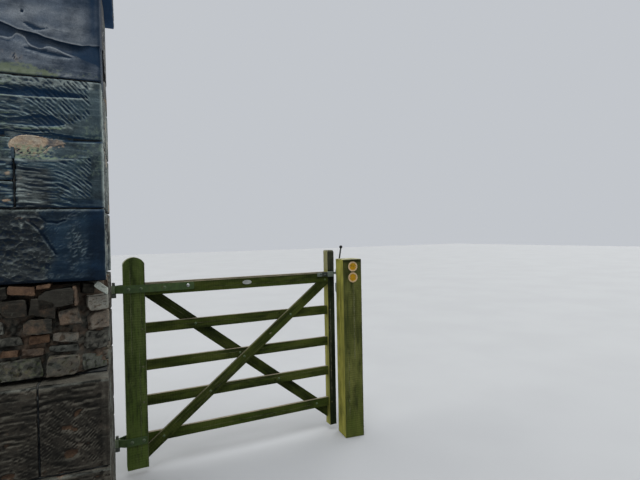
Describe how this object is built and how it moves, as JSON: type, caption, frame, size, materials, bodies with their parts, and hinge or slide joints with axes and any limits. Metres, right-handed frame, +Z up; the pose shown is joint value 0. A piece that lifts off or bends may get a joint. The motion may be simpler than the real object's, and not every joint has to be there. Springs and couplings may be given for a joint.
{
  "type": "five-bar timber bridle gate with stone gate pier and latch post",
  "caption": "Braced timber bridle gate hung by a long strap on hooks in an old ashlar pier, opening one way and caught by a sprung lever latch on a square timber post.",
  "frame": {"origin": "centre of the pier's foot, at ground level", "axes": "+Z up, +X along the closed gate from the pier to the latch post, +Y towards the field into which the gate opens"},
  "size_m": [2.5657, 0.9094, 3.31],
  "materials": {
    "sooty_stone": "soot-blackened rock-faced ashlar",
    "sandstone": "weathered brown sandstone with mortar",
    "cap_stone": "weathered, lichen on the arrises",
    "aged_iron": "aged, dull dark green-grey",
    "black_steel": "black, worn",
    "galvanised_steel": "dull galvanised",
    "plate_metal": "dull, plain",
    "black_plastic": "black ball knob",
    "disc_plastic": "faded plastic, plain rings",
    "heel_timber": "weathered, algae-green",
    "head_timber": "dark weathered timber",
    "rail_timber": "weathered sawn timber",
    "post_timber": "weathered sawn timber, saw marks"
  },
  "bodies": {
    "root": {"pier_base_course": "sandstone", "pier_lower_course": "sandstone", "pier_broken_course": "sandstone", "pier_third_course": "sooty_stone", "pier_second_course": "sooty_stone", "pier_first_course": "sooty_stone", "pier_top_course": "sooty_stone", "cap_slab": "cap_stone", "cap_step": "cap_stone", "cap_crown": "cap_stone", "top_hook_plate": "aged_iron", "top_hook": "aged_iron", "bottom_hook_plate": "aged_iron", "bottom_hook": "aged_iron", "latch_post": "post_timber", "upper_waymark_disc": "disc_plastic", "lower_waymark_disc": "disc_plastic", "latch_back_plate": "galvanised_steel", "latch_housing": "galvanised_steel", "latch_pivot": "galvanised_steel"},
    "gate": {"heel_stile": "heel_timber", "head_stile": "head_timber", "top_rail": "rail_timber", "second_rail": "rail_timber", "third_rail": "rail_timber", "fourth_rail": "rail_timber", "bottom_rail": "rail_timber", "front_brace": "rail_timber", "rear_brace": "rail_timber", "top_strap_front": "aged_iron", "top_strap_rear": "aged_iron", "top_eye": "aged_iron", "bottom_band_front": "aged_iron", "bottom_band_rear": "aged_iron", "bottom_eye": "aged_iron", "striker_bar": "black_steel", "oval_plate": "plate_metal"},
    "lever": {"latch_catch": "galvanised_steel", "lever_rod": "black_steel", "lever_knob": "black_plastic"}
  },
  "joints": [
    {"name": "gate_swing", "type": "hinge", "parent": "root", "child": "gate", "pos_m": [0.396, 0.413, 1.211], "axis": [0, 0, 1], "range_deg": [0, 95]},
    {"name": "latch_lever", "type": "hinge", "parent": "root", "child": "lever", "pos_m": [2.02797, 0.38105, 1.112], "axis": [0.1236, 0.9923, 0], "range_deg": [0, 25], "stiffness_Nm_per_rad": 3, "springref_deg": -20.05}
  ]
}
